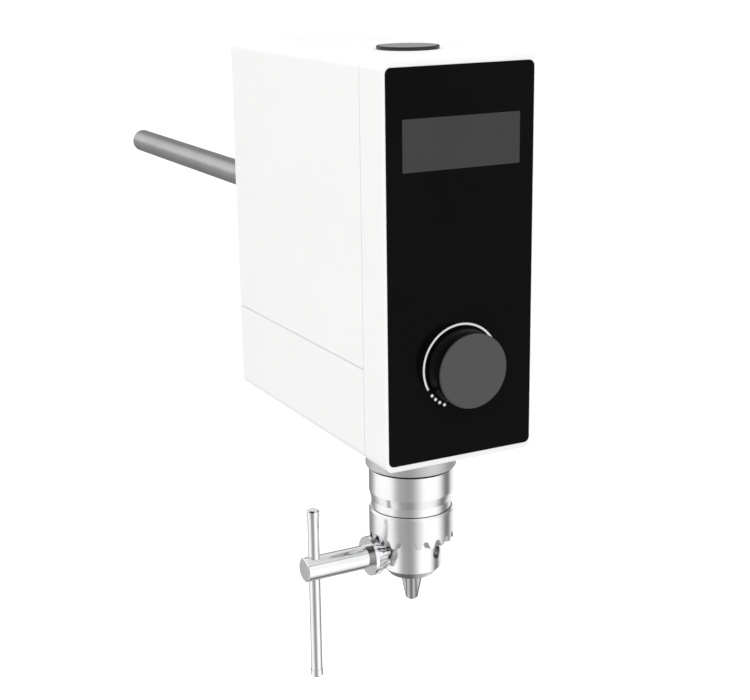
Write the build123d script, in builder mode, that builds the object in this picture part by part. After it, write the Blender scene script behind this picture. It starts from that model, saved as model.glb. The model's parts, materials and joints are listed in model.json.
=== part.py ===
"""Overhead stirrer: housing on a rear support rod, hollow spindle with a geared three-jaw chuck and its key.

Millimetres. The origin is on the support rod's axis where its shoulder meets the housing's rear face.
+X is to the right seen from the front, +Y points back along the rod, and +Z is up.
"""

from build123d import *
import math
import os

os.makedirs("parts", exist_ok=True)

# Housing
housing_width = 86.0
housing_height = 206.0
housing_depth = 184.6
rod_above_middle = 9.0
corner_radius = 5.5
wall = 3.0
front_frame_depth = 24.2
front_edge_radius = 1.2
lower_edge_radius = 3.2
lower_edge_overlap = 0.02
front_wall = 2.6
lower_cover_height = 49.6
seam_gap = 0.2
seam_step = 0.4
tongue_length = 4.0
tongue_thickness = 1.4
tongue_root = 6.0
slip_gap = 0.1
moving_gap = 0.3
small_edge = 0.3
cut_past = 1.5

# Front panel and display
frame_side_band = 1.4
frame_end_band = 4.0
panel_thickness = 2.4
panel_radius = 3.0
panel_proud = 0.3
window_side_margin = 8.4
window_height = 25.7
window_below_edge = 37.3
window_sideways = 0.4
window_radius = 0.6
module_border = 1.5
module_gap = 0.2
board_thickness = 1.6
board_side_gap = 4.6
board_end_gap = 13.0
board_radius = 1.5
board_behind_panel = 12.6
board_post_radius = 3.0
board_screw_radius = 1.25
screw_head_height = 1.6
post_inset = 5.0

# Speed knob with its press action
knob_above_edge = 47.7
knob_radius = 19.5
knob_reach = 12.7
knob_lift = 1.2
knob_edge_radius = 1.2
knob_skin = 3.2
knob_wall = 2.2
knob_hub_radius = 6.0
knob_travel = 0.8
encoder_size = 13.0
encoder_radius = 1.0
bush_radius = 3.5
bush_reach = 0.2
shaft_radius = 3.0
shaft_flat = 0.6
shaft_in_knob = 9.0
shaft_in_encoder = 2.2
nut_across = 10.0
nut_thickness = 2.0
panel_hole_radius = 7.5
plunger_radius = 4.4
plunger_thickness = 1.4
plunger_pin_radius = 1.0
plunger_pin_length = 4.0
running_gap = 0.08

# Spindle and its housing
boss_radius = 24.9
boss_drop = 17.0
boss_gap = 0.3
spindle_bore_radius = 5.3
bearing_bore_radius = 10.0
bearing_wall = 3.9
bearing_shoulder = 3.0
bearing_width = 12.0
bearing_ring = 2.8
bearing_shield = 1.0
upper_bearing_recess = 1.0
seal_height = 4.5
seal_lip = 0.5
spindle_shoulder = 2.0
spindle_top_step = 2.0
spindle_top_below_cover = 10.0
spindle_top_chamfer = 0.8
flange_thickness = 6.0
flange_screw_gap = 3.1
flange_screw_edge = 3.0
flange_front_margin = 2.6
bearing_nut_wall = 4.0
bearing_nut_height = 4.0
nut_slot_width = 3.0

# Chassis
plate_thickness = 8.0
plate_below_window = 3.85
plate_side_gap = 3.0
plate_front_gap = 14.6
rear_plate_thickness = 5.0
rear_plate_top_gap = 6.0
gusset_thickness = 4.0
gusset_reach = 24.0
gusset_height = 42.0
arm_width = 7.0
arm_thickness = 3.0
arm_setback = 23.0
standoff_edge = 6.0
small_screw_radius = 1.5
large_screw_radius = 2.0
large_screw_head = 3.5
large_head_height = 2.4
small_screw_head = 2.8
small_head_height = 2.0
screw_end_gap = 1.0

# Cover screws
screw_inset = 9.0
upper_screw_drop = 8.0
middle_screw_rise = 17.0
lower_screw_drop = 8.6
screw_edge = 5.0
button_radius = 2.9
button_height = 1.7
hex_socket_radius = 1.0
hex_socket_depth = 1.0

# Motor and belt
motor_front_share = 0.155
motor_radius = 30.0
motor_wall = 3.0
motor_edge = 1.5
motor_flange = 4.0
motor_low_gap = 6.4
motor_screw_inset = 8.0
motor_register_radius = 11.0
motor_register_height = 5.0
stator_width = 10.0
rotor_gap = 0.4
rotor_lift = 12.0
rotor_top_gap = 8.0
motor_shaft_radius = 4.0
motor_shaft_end_gap = 1.0
motor_bearing_radius = 9.0
motor_bearing_width = 6.0
pulley_rise = 6.0
pulley_height = 14.0
pulley_flange = 1.6
pulley_lip = 2.0
pulley_hub_height = 5.0
pulley_hub_wall = 4.0
spindle_pulley_radius = 24.0
motor_pulley_radius = 12.0
belt_gap = 0.3
belt_thickness = 2.6
belt_side_gap = 0.4

# Power parts at the rear
inlet_x = -17.0
inlet_flange = (30.0, 23.0)
inlet_flange_radius = 2.0
inlet_body = (27.0, 19.6)
inlet_body_depth = 24.0
inlet_socket = (23.6, 16.2)
inlet_socket_depth = 16.0
inlet_socket_radius = 2.5
inlet_flange_thickness = 2.0
pin_spacing = 7.0
pin_offset = 2.0
pin_width = 2.0
pin_height = 4.0
pin_length = 14.0
switch_x = 20.0
bezel_size = (15.0, 21.0)
bezel_radius = 1.5
switch_body = (12.6, 18.6)
switch_depth = 20.0
bezel_thickness = 1.6
rocker_width = 9.4
rocker_height = 14.6
rocker_rise = 3.4
rocker_dip = 1.1
rocker_heel = 4.0
rocker_heel_half = 1.8
rocker_side = 0.4
rocker_end_gap = 0.5
rocker_pivot_radius = 1.2
rocker_pivot_reach = 0.8
rocker_pivot_end_gap = 0.2
rocker_pivot_depth = 1.2
rocker_angle = 14.0
switch_well_depth = 9.0
driver_rise = 19.0
driver_side_gap = 1.0
driver_rear_gap = 1.0
driver_front_gap = 13.3
capacitor_radius = 5.5
capacitor_height = 11.0
capacitor_spacing = 14.0
capacitor_inset = 12.0

# Support rod
rod_radius = 8.0
rod_length = 290.0
rod_chamfer = 1.8
rod_boss_wall = 5.0
rod_boss_floor = 4.0
spigot_step = 2.0
spigot_length = 26.0
spigot_end_gap = 1.0
lock_screw_radius = 3.0
lock_socket_radius = 1.5
lock_socket_depth = 2.5

# Top cap over the hollow spindle
cap_radius = 16.2
cap_height = 1.75
cap_seat_gap = 0.1
cap_rim = 3.0
cap_skirt_wall = 1.5
cap_skirt_depth = 8.0
cap_floor = 1.0
cap_inlay_border = 1.2
cap_inlay_thickness = 0.8

# Chuck
chuck_gap = 1.0
chuck_collar_radius = 23.2
chuck_collar_height = 13.5
chuck_taper_height = 5.0
chuck_taper_step = 1.2
chuck_waist_height = 4.4
sleeve_radius = 23.3
sleeve_edge_width = 0.7
sleeve_edge_height = 1.4
sleeve_height = 18.1
nose_radius = 16.45
nose_drop = 17.1
nose_tip_radius = 11.5
nose_chamfer_height = 4.7
nose_end_extra = 1.2
spindle_nose_step = 1.0
spindle_nose_length = 16.0
chuck_bore_gap = 0.25
jaw_radius = 3.0
jaw_angle = 13.5
jaw_tip_offset = 0.3
jaw_reach = 16.3
jaw_length_up = 52.0
jaw_side_gap = 0.15
jaw_fit = 0.08
jaw_tip_chamfer = 0.6
jaw_opening = 10.9
jaw_end_room = 1.5
nut_outer_radius = 18.5
nut_height = 9.0
nut_drop = 2.7
nut_jaw_gap = 0.35
nut_split = 0.3
nut_groove_radius = 12.6
sleeve_fit = 0.1

# Chuck gearing
sleeve_teeth = 20
key_teeth = 8
pressure_angle = 25.0
backlash = 0.6
sleeve_face_angle = 17.6
sleeve_root_angle = 26.3
pinion_tip_angle = 25.3
pinion_root_angle = 16.4
key_below_sleeve = 7.4

# Chuck key
key_radius = 6.54
key_past_bar = 6.25
key_end_chamfer = 0.6
pinion_past_sleeve = 4.2
pinion_front_gap = 0.8
pinion_collar_width = 1.8
pinion_max_radius = 10.95
pilot_radius = 3.45
pilot_tip = 9.2
pilot_end_gap = 0.6
pilot_fit = 0.08
bar_radius = 3.15
bar_from_axis = 59.85
bar_length = 97.4
bar_below_key = 63.7
bar_head_rise = 0.3
bar_head_length = 4.0
bar_end_chamfer = 0.8
bar_fit = 0.08

# Places worked out from the sizes: housing and front
middle_z = -rod_above_middle
top_z = middle_z + housing_height / 2
bottom_z = middle_z - housing_height / 2
front_y = -housing_depth
seam_y = front_y + front_frame_depth
seam_z = bottom_z + lower_cover_height
inner_width = housing_width - 2 * wall
inner_height = housing_height - 2 * wall
inner_radius = corner_radius - wall
panel_width = housing_width - 2 * frame_side_band
panel_height = housing_height - 2 * frame_end_band
panel_back_y = front_y + panel_thickness
wall_back_y = panel_back_y + front_wall
board_y = front_y + board_behind_panel
board_back_y = board_y + board_thickness
board_width = panel_width - 2 * board_side_gap
board_height = panel_height - 2 * board_end_gap
window_width = panel_width - 2 * window_side_margin
window_z = middle_z + panel_height / 2 - window_below_edge
knob_z = middle_z - panel_height / 2 + knob_above_edge

# Chassis, rod boss and cover screws
plate_top_z = window_z - window_height / 2 - plate_below_window
plate_low_z = plate_top_z - plate_thickness
plate_front_y = wall_back_y + plate_front_gap
plate_width = inner_width - 2 * plate_side_gap
rear_inner_y = -wall - seam_gap
rear_plate_front_y = rear_inner_y - rear_plate_thickness
rear_plate_top = top_z - rear_plate_top_gap
screw_x = housing_width / 2 - screw_inset
lower_screw_z = seam_z - lower_screw_drop
rear_plate_bottom = lower_screw_z - screw_edge
spigot_radius = rod_radius - spigot_step
rod_boss_radius = rod_radius + rod_boss_wall
rod_boss_length = spigot_length + rod_boss_floor
standoff_radius = plate_thickness / 2
standoff_x = plate_width / 2 - standoff_edge
standoff_z = plate_low_z + plate_thickness / 2

# Spindle, its housing and its bearings
flange_screw_circle = boss_radius + flange_screw_gap
flange_radius = flange_screw_circle + flange_screw_edge
spindle_y = plate_front_y + flange_front_margin + flange_radius
boss_z = bottom_z - boss_drop
bearing_outer_radius = boss_radius - bearing_wall
housing_bore_radius = bearing_outer_radius - bearing_shoulder
spindle_body_radius = bearing_bore_radius + spindle_shoulder
spindle_top_radius = bearing_bore_radius - spindle_top_step
spindle_nose_radius = bearing_bore_radius - spindle_nose_step
spindle_top_z = top_z - spindle_top_below_cover
bearing_nut_radius = bearing_bore_radius + bearing_nut_wall
bearing_low_z = boss_z + seal_height
bearing_nut_z = plate_top_z - upper_bearing_recess
upper_bearing_z = bearing_nut_z - bearing_width
spindle_axis = Axis((0, spindle_y, 0), (0, 0, 1))

# Driver board, motor and power parts
driver_low_z = rear_plate_bottom + driver_rise
driver_top_z = driver_low_z + board_thickness
driver_front_y = spindle_y + boss_radius + driver_front_gap
driver_back_y = rear_plate_front_y - driver_rear_gap
flange_back_y = spindle_y + flange_radius
motor_room = rear_plate_front_y - flange_back_y - 2 * motor_radius
motor_y = flange_back_y + motor_front_share * motor_room + motor_radius
motor_distance = motor_y - spindle_y
motor_low_z = driver_top_z + capacitor_height + motor_low_gap
motor_can_top_z = plate_low_z - motor_flange
motor_screw_circle = motor_radius - motor_screw_inset
rotor_low_z = motor_low_z + rotor_lift
rotor_high_z = motor_can_top_z - rotor_top_gap
stator_inner_radius = motor_radius - motor_wall - stator_width
pulley_low_z = plate_top_z + pulley_rise
pulley_high_z = pulley_low_z + pulley_height
power_z = (bottom_z + rear_plate_bottom) / 2

# Chuck, jaws and key
chuck_top_z = boss_z - chuck_gap
spindle_low_z = chuck_top_z - spindle_nose_length
chuck_waist_radius = chuck_collar_radius - chuck_taper_step
waist_z = chuck_top_z - chuck_collar_height - chuck_taper_height
sleeve_top_z = waist_z - chuck_waist_height - moving_gap
sleeve_low_z = sleeve_top_z - sleeve_height
key_z = sleeve_low_z - key_below_sleeve
nose_z = sleeve_low_z - nose_drop
nose_end_z = nose_z - nose_chamfer_height
jaw_tip_z = nose_end_z - jaw_reach
jaw_slope = math.tan(math.radians(jaw_angle))
jaw_travel = jaw_opening / 2 / math.sin(math.radians(jaw_angle))
nut_top_z = sleeve_top_z - nut_drop
nut_low_z = nut_top_z - nut_height
pinion_back = sleeve_radius + pinion_past_sleeve
pinion_front = nose_radius + pinion_front_gap
pilot_hole_bottom = pilot_tip - pilot_end_gap
key_reach = bar_from_axis + key_past_bar
cap_hole_radius = cap_radius - cap_rim
cap_inlay_radius = cap_radius - cap_inlay_border


def facing(y, x=0.0, z=0.0):
    """A plane that looks to the front, with its x to the right and its y up."""
    return Plane(origin=(x, y, z), x_dir=(1, 0, 0), z_dir=(0, -1, 0))


def level(z, x=0.0, y=0.0):
    """A horizontal plane at height z."""
    return Plane(origin=(x, y, z), x_dir=(1, 0, 0), z_dir=(0, 0, 1))


def bar(start, end, radius, mode=Mode.ADD):
    """A round bar, or hole, between two points."""
    run = Vector(*end) - Vector(*start)
    with BuildSketch(Plane(origin=start, z_dir=run)) as section:
        Circle(radius)
    extrude(section.sketch, amount=run.length, mode=mode)


def post(y, low, high, radius, x=0.0, mode=Mode.ADD):
    """A vertical bar or hole at (x, y)."""
    bar((x, y, low), (x, y, high), radius, mode)


def across(x, z, front, back, radius, mode=Mode.ADD):
    """A bar or hole along Y at (x, z)."""
    bar((x, front, z), (x, back, z), radius, mode)


def block(low, high, mode=Mode.ADD):
    """A rectangular block between two corners."""
    with BuildSketch(level(low[2], (low[0] + high[0]) / 2, (low[1] + high[1]) / 2)) as section:
        Rectangle(high[0] - low[0], high[1] - low[1])
    extrude(section.sketch, amount=high[2] - low[2], mode=mode)


def panel_block(x, z, width, height, front, back, radius=0.0, mode=Mode.ADD):
    """A plate that faces front, with rounded corners if radius is over zero."""
    with BuildSketch(facing(front, x, z)) as section:
        if radius > 0:
            RectangleRounded(width, height, radius)
        else:
            Rectangle(width, height)
    extrude(section.sketch, amount=front - back, mode=mode)


def ring(y, low, high, outer, inner, x=0.0):
    """A plain vertical ring."""
    post(y, low, high, outer, x)
    post(y, low, high, inner, x, Mode.SUBTRACT)


def four_places(y, circle):
    """Four screw places on a circle round (0, y), between the axes."""
    angles = [math.radians(45 + 90 * index) for index in range(4)]
    return [(circle * math.cos(angle), y + circle * math.sin(angle)) for angle in angles]


def finish(part, name):
    """Labels a finished piece and writes it."""
    part.part.label = name
    export_step(part.part, f"parts/{name}.step")


# Front frame: the shell that carries the glossy panel
post_places = [
    (side * (board_width / 2 - post_inset), middle_z + end * (board_height / 2 - post_inset))
    for side in (-1, 1)
    for end in (-1, 1)
]

with BuildPart() as front_frame:
    frame_front_y = front_y + panel_proud
    frame_back_y = seam_y - seam_gap / 2
    panel_block(0, middle_z, housing_width, housing_height, frame_front_y, frame_back_y, corner_radius)
    fillet(front_frame.faces().sort_by(Axis.Y)[0].edges(), front_edge_radius)
    # Wider rounding under the panel
    rounding_y = frame_front_y + lower_edge_radius - lower_edge_overlap
    rounding_z = middle_z - housing_height / 2 + lower_edge_radius - lower_edge_overlap
    with BuildSketch(Plane(origin=(0, rounding_y, rounding_z), x_dir=(0, 1, 0), z_dir=(1, 0, 0))):
        Rectangle(2 * lower_edge_radius, 2 * lower_edge_radius, align=(Align.MAX, Align.MAX))
        Circle(lower_edge_radius, mode=Mode.SUBTRACT)
    extrude(amount=housing_width, both=True, mode=Mode.SUBTRACT)
    panel_block(0, middle_z, inner_width, inner_height, wall_back_y, seam_y, inner_radius, Mode.SUBTRACT)
    panel_block(
        0,
        middle_z,
        panel_width + 2 * slip_gap,
        panel_height + 2 * slip_gap,
        frame_front_y,
        panel_back_y,
        panel_radius + slip_gap,
        Mode.SUBTRACT,
    )
    panel_block(
        window_sideways,
        window_z,
        window_width + 2 * module_gap,
        window_height + 2 * module_gap,
        panel_back_y,
        wall_back_y,
        0,
        Mode.SUBTRACT,
    )
    across(0, knob_z, panel_back_y, wall_back_y, bush_radius + slip_gap, Mode.SUBTRACT)
    for x, z in post_places:
        across(x, z, wall_back_y, board_y, board_post_radius)
        across(x, z, panel_back_y, board_y, board_screw_radius, Mode.SUBTRACT)
    for side in (-1, 1):
        across(side * standoff_x, standoff_z, panel_back_y, wall_back_y, small_screw_radius, Mode.SUBTRACT)
    # Rear tongue that slips inside the covers
    with BuildSketch(facing(seam_y - tongue_root, 0, middle_z)):
        RectangleRounded(inner_width + wall, inner_height + wall, inner_radius + wall / 2)
        RectangleRounded(
            inner_width - 2 * slip_gap - 2 * tongue_thickness,
            inner_height - 2 * slip_gap - 2 * tongue_thickness,
            inner_radius,
            mode=Mode.SUBTRACT,
        )
    extrude(amount=seam_gap / 2 - tongue_root)
    with BuildSketch(facing(seam_y - tongue_root, 0, middle_z)):
        RectangleRounded(inner_width - 2 * slip_gap, inner_height - 2 * slip_gap, inner_radius)
        RectangleRounded(
            inner_width - 2 * slip_gap - 2 * tongue_thickness,
            inner_height - 2 * slip_gap - 2 * tongue_thickness,
            inner_radius,
            mode=Mode.SUBTRACT,
        )
    extrude(amount=-tongue_root - tongue_length)
    # Shallow step round the rear rim, which shows as the seam
    with BuildSketch(facing(seam_y - seam_gap / 2 - seam_step, 0, middle_z)):
        Rectangle(housing_width + wall, housing_height + wall)
        RectangleRounded(
            housing_width - 2 * seam_step,
            housing_height - 2 * seam_step,
            corner_radius - seam_step,
            mode=Mode.SUBTRACT,
        )
    extrude(amount=-seam_step, mode=Mode.SUBTRACT)
finish(front_frame, "front_frame")


def cover(low, high, low_seam, high_seam):
    """The rear cover between two heights, open to the front and at its seam."""
    start_y = seam_y + seam_gap / 2
    span = high - low
    centre = (high + low) / 2
    with BuildSketch(facing(start_y, 0, middle_z)) as section:
        RectangleRounded(housing_width, housing_height, corner_radius)
        with Locations((0, centre - middle_z)):
            Rectangle(housing_width, span, mode=Mode.INTERSECT)
    extrude(section.sketch, amount=start_y)
    with BuildSketch(facing(start_y, 0, middle_z)) as hollow:
        RectangleRounded(inner_width, inner_height, inner_radius)
    extrude(hollow.sketch, amount=start_y + wall, mode=Mode.SUBTRACT)
    # Steps along the seams
    with BuildSketch(facing(start_y, 0, middle_z)) as rim:
        Rectangle(housing_width + wall, housing_height + wall)
        RectangleRounded(
            housing_width - 2 * seam_step,
            housing_height - 2 * seam_step,
            corner_radius - seam_step,
            mode=Mode.SUBTRACT,
        )
    extrude(rim.sketch, amount=-seam_step, mode=Mode.SUBTRACT)
    for wanted, z in ((low_seam, low + seam_step / 2), (high_seam, high - seam_step / 2)):
        if wanted:
            with BuildSketch(level(z - seam_step / 2, 0, start_y / 2)) as side:
                Rectangle(housing_width + wall, -start_y + wall)
                with Locations((0, -seam_step)):
                    Rectangle(housing_width - 2 * seam_step, -start_y, mode=Mode.SUBTRACT)
            extrude(side.sketch, amount=seam_step, mode=Mode.SUBTRACT)


upper_screw_heights = (rear_plate_top - upper_screw_drop, seam_z + middle_screw_rise)
cover_screws_upper = [(side * screw_x, z) for side in (-1, 1) for z in upper_screw_heights]
cover_screws_lower = [(side * screw_x, lower_screw_z) for side in (-1, 1)]


def screw_seats(places):
    """Counterbored holes in a cover's rear wall."""
    for x, z in places:
        across(x, z, -wall, 0, small_screw_radius + slip_gap, Mode.SUBTRACT)
        across(x, z, -button_height - slip_gap, 0, button_radius + slip_gap, Mode.SUBTRACT)


with BuildPart() as upper_rear_cover:
    cover(seam_z + seam_gap / 2, top_z, True, False)
    post(spindle_y, top_z - wall, top_z, cap_hole_radius, mode=Mode.SUBTRACT)
    across(0, 0, -wall, 0, rod_boss_radius + slip_gap, Mode.SUBTRACT)
    screw_seats(cover_screws_upper)
finish(upper_rear_cover, "upper_rear_cover")

with BuildPart() as lower_rear_cover:
    cover(bottom_z, seam_z - seam_gap / 2, False, True)
    post(spindle_y, bottom_z, bottom_z + wall, boss_radius + boss_gap, mode=Mode.SUBTRACT)
    panel_block(
        inlet_x,
        power_z,
        inlet_body[0] + 2 * slip_gap,
        inlet_body[1] + 2 * slip_gap,
        -wall,
        0,
        0,
        Mode.SUBTRACT,
    )
    panel_block(
        switch_x,
        power_z,
        switch_body[0] + 2 * slip_gap,
        switch_body[1] + 2 * slip_gap,
        -wall,
        0,
        0,
        Mode.SUBTRACT,
    )
    screw_seats(cover_screws_lower)
    # Lip that reaches up inside the upper cover
    lip_front_y = seam_y + tongue_length + moving_gap
    lip_back_y = rear_plate_front_y - driver_rear_gap
    lip_outer = inner_width / 2 - slip_gap
    lip_inner = lip_outer - tongue_thickness
    for side in (-1, 1):
        for reach, high in ((lip_outer, seam_z + tongue_length), (inner_width / 2, seam_z - seam_gap / 2)):
            edges = sorted((side * lip_inner, side * reach))
            block((edges[0], lip_front_y, seam_z - tongue_length), (edges[1], lip_back_y, high))
finish(lower_rear_cover, "lower_rear_cover")

# Front panel with its window and the knob's hole
with BuildPart() as front_panel:
    panel_block(0, middle_z, panel_width, panel_height, front_y, panel_back_y, panel_radius)
    panel_block(
        window_sideways,
        window_z,
        window_width,
        window_height,
        front_y,
        panel_back_y,
        window_radius,
        Mode.SUBTRACT,
    )
    across(0, knob_z, front_y, panel_back_y, panel_hole_radius, Mode.SUBTRACT)
finish(front_panel, "front_panel")

with BuildPart() as display_window:
    panel_block(
        window_sideways,
        window_z,
        window_width - slip_gap,
        window_height - slip_gap,
        front_y,
        panel_back_y - module_gap,
        window_radius,
    )
finish(display_window, "display_window")

with BuildPart() as display_module:
    panel_block(
        window_sideways,
        window_z,
        window_width - 2 * module_border,
        window_height - 2 * module_border,
        panel_back_y,
        board_y,
    )
finish(display_module, "display_module")

with BuildPart() as control_board:
    panel_block(0, middle_z, board_width, board_height, board_y, board_back_y, board_radius)
    for x, z in post_places:
        across(x, z, board_y, board_back_y, board_screw_radius + slip_gap, Mode.SUBTRACT)
    slot_radius = standoff_radius + moving_gap
    for side in (-1, 1):
        across(side * standoff_x, standoff_z, board_y, board_back_y, slot_radius, Mode.SUBTRACT)
finish(control_board, "control_board")

with BuildPart() as board_screws:
    for x, z in post_places:
        across(x, z, wall_back_y, board_back_y, board_screw_radius - slip_gap / 2)
        across(x, z, board_back_y, board_back_y + screw_head_height, 2 * board_screw_radius)
finish(board_screws, "board_screws")

# Rotary encoder with its push switch
shaft_back_y = wall_back_y + shaft_in_encoder
plunger_front_y = shaft_back_y + moving_gap
knob_front_y = front_y - knob_reach
knob_back_y = front_y - knob_lift
shaft_front_y = knob_front_y + knob_skin

with BuildPart() as encoder_body:
    plunger_end_y = shaft_back_y + plunger_thickness + knob_travel + 2 * moving_gap
    panel_block(0, knob_z, encoder_size, encoder_size, wall_back_y, board_y, encoder_radius)
    across(0, knob_z, front_y - bush_reach, wall_back_y, bush_radius)
    across(0, knob_z, front_y - bush_reach, shaft_back_y, shaft_radius + running_gap, Mode.SUBTRACT)
    across(0, knob_z, shaft_back_y, plunger_end_y, plunger_radius + running_gap, Mode.SUBTRACT)
finish(encoder_body, "encoder_body")

with BuildPart() as encoder_nut:
    with BuildSketch(facing(panel_back_y - nut_thickness, 0, knob_z)):
        RegularPolygon(nut_across / 2, 6, major_radius=False)
    extrude(amount=-nut_thickness)
    across(0, knob_z, panel_back_y - nut_thickness, panel_back_y, bush_radius, Mode.SUBTRACT)
finish(encoder_nut, "encoder_nut")

with BuildPart() as switch_plunger:
    across(0, knob_z, plunger_front_y, plunger_front_y + plunger_thickness, plunger_radius)
    across(0, knob_z, plunger_front_y - plunger_pin_length, plunger_front_y, plunger_pin_radius)
finish(switch_plunger, "switch_plunger")

with BuildPart() as encoder_shaft:
    across(0, knob_z, shaft_front_y, shaft_back_y, shaft_radius)
    across(
        0,
        knob_z,
        shaft_back_y - plunger_pin_length,
        shaft_back_y,
        plunger_pin_radius + running_gap,
        Mode.SUBTRACT,
    )
    block(
        (-shaft_radius, shaft_front_y, knob_z + shaft_radius - shaft_flat),
        (shaft_radius, shaft_front_y + shaft_in_knob, knob_z + shaft_radius),
        Mode.SUBTRACT,
    )
finish(encoder_shaft, "encoder_shaft")

with BuildPart() as knob:
    across(0, knob_z, knob_front_y, knob_back_y, knob_radius)
    fillet(knob.faces().sort_by(Axis.Y)[0].edges(), knob_edge_radius)
    across(0, knob_z, shaft_front_y, knob_back_y, knob_radius - knob_wall, Mode.SUBTRACT)
    across(0, knob_z, shaft_front_y, knob_back_y - small_edge, knob_hub_radius)
    with BuildSketch(facing(shaft_front_y, 0, knob_z)):
        Circle(shaft_radius)
        with Locations((0, shaft_radius - shaft_flat / 2)):
            Rectangle(2 * shaft_radius, shaft_flat, mode=Mode.SUBTRACT)
    extrude(amount=shaft_front_y - knob_back_y, mode=Mode.SUBTRACT)
finish(knob, "knob")

# Chassis: the cast bracket that carries motor, spindle and rod
with BuildPart() as chassis:
    half_plate = plate_width / 2
    block((-half_plate, plate_front_y, plate_low_z), (half_plate, rear_inner_y, plate_top_z))
    block((-half_plate, rear_plate_front_y, rear_plate_bottom), (half_plate, rear_inner_y, rear_plate_top))
    across(0, 0, -rod_boss_length, 0, rod_boss_radius)
    for side in (-1, 1):
        gusset_x = side * (half_plate - gusset_thickness / 2)
        with BuildSketch(Plane(origin=(gusset_x, 0, 0), x_dir=(0, 1, 0), z_dir=(1, 0, 0))):
            with BuildLine():
                Polyline(
                    (rear_plate_front_y, plate_low_z),
                    (rear_plate_front_y - gusset_reach, plate_low_z),
                    (rear_plate_front_y, plate_low_z - gusset_height),
                    close=True,
                )
            make_face()
        extrude(amount=gusset_thickness / 2, both=True)
        arm_x = side * (half_plate - arm_width / 2)
        block(
            (arm_x - arm_width / 2, driver_front_y + arm_setback, driver_low_z - arm_thickness),
            (arm_x + arm_width / 2, rear_plate_front_y, driver_low_z),
        )
        across(side * standoff_x, standoff_z, wall_back_y, plate_front_y, standoff_radius)
        across(side * standoff_x, standoff_z, wall_back_y, plate_front_y, small_screw_radius, Mode.SUBTRACT)
    across(0, 0, -spigot_length - spigot_end_gap, 0, spigot_radius + slip_gap, Mode.SUBTRACT)
    lock_y = -spigot_length / 2
    post(lock_y, -rod_boss_radius, 0, lock_screw_radius, mode=Mode.SUBTRACT)
    post(spindle_y, plate_low_z, plate_top_z, boss_radius + slip_gap, mode=Mode.SUBTRACT)
    post(motor_y, plate_low_z, plate_top_z, motor_register_radius + slip_gap, mode=Mode.SUBTRACT)
    for x, y in four_places(spindle_y, flange_screw_circle):
        post(y, plate_low_z, plate_top_z, large_screw_radius + slip_gap, x, Mode.SUBTRACT)
    for x, y in four_places(motor_y, motor_screw_circle):
        post(y, plate_low_z, plate_top_z, small_screw_radius + slip_gap, x, Mode.SUBTRACT)
    for x, z in cover_screws_upper + cover_screws_lower:
        across(x, z, rear_plate_front_y, rear_inner_y, small_screw_radius, Mode.SUBTRACT)
finish(chassis, "chassis")


def button_screws(places):
    """Cover screws with a round head and a hexagon socket."""
    head_back_y = -slip_gap / 2
    head_front_y = head_back_y - button_height
    for x, z in places:
        across(x, z, rear_plate_front_y, head_front_y, small_screw_radius - slip_gap / 2)
        across(x, z, head_front_y, head_back_y, button_radius)
        with BuildSketch(facing(head_back_y - hex_socket_depth, x, z)) as socket:
            RegularPolygon(hex_socket_radius, 6, major_radius=False)
        extrude(socket.sketch, amount=-hex_socket_depth, mode=Mode.SUBTRACT)


with BuildPart() as rear_cover_screws:
    button_screws(cover_screws_upper + cover_screws_lower)
finish(rear_cover_screws, "rear_cover_screws")

with BuildPart() as frame_screws:
    screw_radius = small_screw_radius - slip_gap / 2
    for side in (-1, 1):
        x = side * standoff_x
        across(x, standoff_z, panel_back_y + seam_gap, plate_front_y - screw_end_gap, screw_radius)
finish(frame_screws, "frame_screws")

# Spindle housing: flanged tube whose lower end is the boss under the covers
with BuildPart() as spindle_housing:
    post(spindle_y, boss_z, plate_top_z, boss_radius)
    chamfer(spindle_housing.faces().sort_by(Axis.Z)[0].edges(), seam_step)
    post(spindle_y, plate_low_z - flange_thickness, plate_low_z, flange_radius)
    post(spindle_y, boss_z, bearing_low_z + bearing_width, bearing_outer_radius, mode=Mode.SUBTRACT)
    post(spindle_y, boss_z, plate_top_z, housing_bore_radius, mode=Mode.SUBTRACT)
    post(spindle_y, upper_bearing_z, plate_top_z, bearing_outer_radius, mode=Mode.SUBTRACT)
    for x, y in four_places(spindle_y, flange_screw_circle):
        hole_radius = large_screw_radius + slip_gap / 2
        post(y, plate_low_z - flange_thickness, plate_low_z, hole_radius, x, Mode.SUBTRACT)
finish(spindle_housing, "spindle_housing")

with BuildPart() as flange_screws:
    for x, y in four_places(spindle_y, flange_screw_circle):
        post(y, plate_low_z - flange_thickness, plate_top_z, large_screw_radius, x)
        post(y, plate_top_z, plate_top_z + large_head_height, large_screw_head, x)
finish(flange_screws, "flange_screws")

with BuildPart() as motor_screws:
    for x, y in four_places(motor_y, motor_screw_circle):
        post(y, plate_low_z, plate_top_z, small_screw_radius, x)
        post(y, plate_top_z, plate_top_z + small_head_height, small_screw_head, x)
finish(motor_screws, "motor_screws")

with BuildPart() as shaft_seal:
    ring(
        spindle_y,
        boss_z + seal_lip,
        bearing_low_z,
        bearing_outer_radius,
        bearing_bore_radius + moving_gap,
    )
finish(shaft_seal, "shaft_seal")


for name, low in (("lower_bearing", bearing_low_z), ("upper_bearing", upper_bearing_z)):
    with BuildPart() as outer:
        ring(spindle_y, low, low + bearing_width, bearing_outer_radius, bearing_outer_radius - bearing_ring)
        for z in (low, low + bearing_width - bearing_shield):
            ring_inner = bearing_bore_radius + bearing_ring + moving_gap
            with BuildSketch(level(z, 0, spindle_y)):
                Circle(bearing_outer_radius - bearing_ring / 2)
                Circle(ring_inner, mode=Mode.SUBTRACT)
            extrude(amount=bearing_shield)
    finish(outer, f"{name}_outer_ring")
    with BuildPart() as inner:
        ring(spindle_y, low, low + bearing_width, bearing_bore_radius + bearing_ring, bearing_bore_radius)
    finish(inner, f"{name}_inner_ring")

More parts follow.
